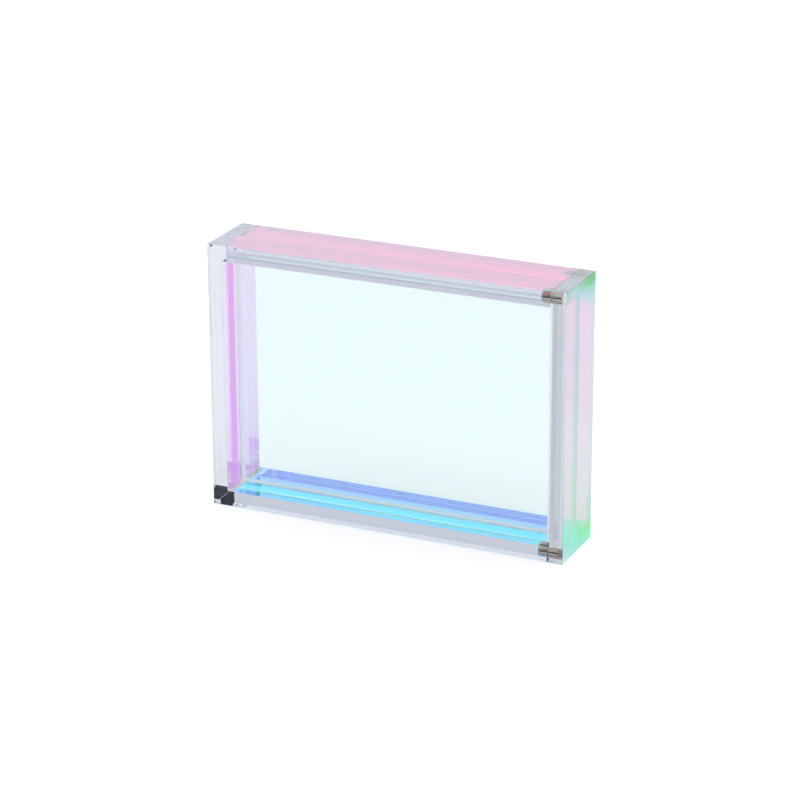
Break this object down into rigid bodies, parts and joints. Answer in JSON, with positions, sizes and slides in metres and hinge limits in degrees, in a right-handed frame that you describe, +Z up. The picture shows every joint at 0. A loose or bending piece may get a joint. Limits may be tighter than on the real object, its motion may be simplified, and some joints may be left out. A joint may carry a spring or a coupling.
{
  "type": "photo frame",
  "caption": "Clear acrylic box photo frame with colour-shifting film on its outer faces, clear panes in milled slots and a removable side bar held by magnets.",
  "frame": {"origin": "the surface that the frame stands on, below the middle of the frame", "axes": "+X to the right along the frame's length, towards the bar that comes off; +Y from the front to the back; +Z up"},
  "size_m": [0.139, 0.0274, 0.101],
  "materials": {
    "clear_acrylic": "diamond-polished clear cast acrylic",
    "dichroic_film": "glossy colour-shifting film, pink, lilac, mint and blue by angle",
    "pane_acrylic": "glossy clear extruded acrylic sheet",
    "nickel_plate": "bright nickel plating"
  },
  "bodies": {
    "glued_frame": {"left_side_bar": "clear_acrylic", "top_bar": "clear_acrylic", "bottom_bar": "clear_acrylic", "left_film": "dichroic_film", "top_film": "dichroic_film", "bottom_film": "dichroic_film", "top_bar_front_magnet": "nickel_plate", "top_bar_back_magnet": "nickel_plate", "bottom_bar_front_magnet": "nickel_plate", "bottom_bar_back_magnet": "nickel_plate"},
    "loose_side": {"right_side_bar": "clear_acrylic", "right_film": "dichroic_film", "side_bar_top_front_magnet": "nickel_plate", "side_bar_top_back_magnet": "nickel_plate", "side_bar_bottom_front_magnet": "nickel_plate", "side_bar_bottom_back_magnet": "nickel_plate"},
    "front_pane": {"front_pane": "pane_acrylic"},
    "back_pane": {"back_pane": "pane_acrylic"}
  },
  "joints": [
    {"name": "loose_side_pull", "type": "slide", "parent": "glued_frame", "child": "loose_side", "axis": [1, 0, 0], "range_m": [0, 0.2]},
    {"name": "front_pane_slide", "type": "slide", "parent": "glued_frame", "child": "front_pane", "axis": [1, 0, 0], "range_m": [0, 0.14]},
    {"name": "back_pane_slide", "type": "slide", "parent": "glued_frame", "child": "back_pane", "axis": [1, 0, 0], "range_m": [0, 0.134]}
  ],
  "couplings": [
    {"joint": "front_pane_slide", "follows": "loose_side_pull", "ratio": 0.7},
    {"joint": "back_pane_slide", "follows": "loose_side_pull", "ratio": 0.67}
  ]
}
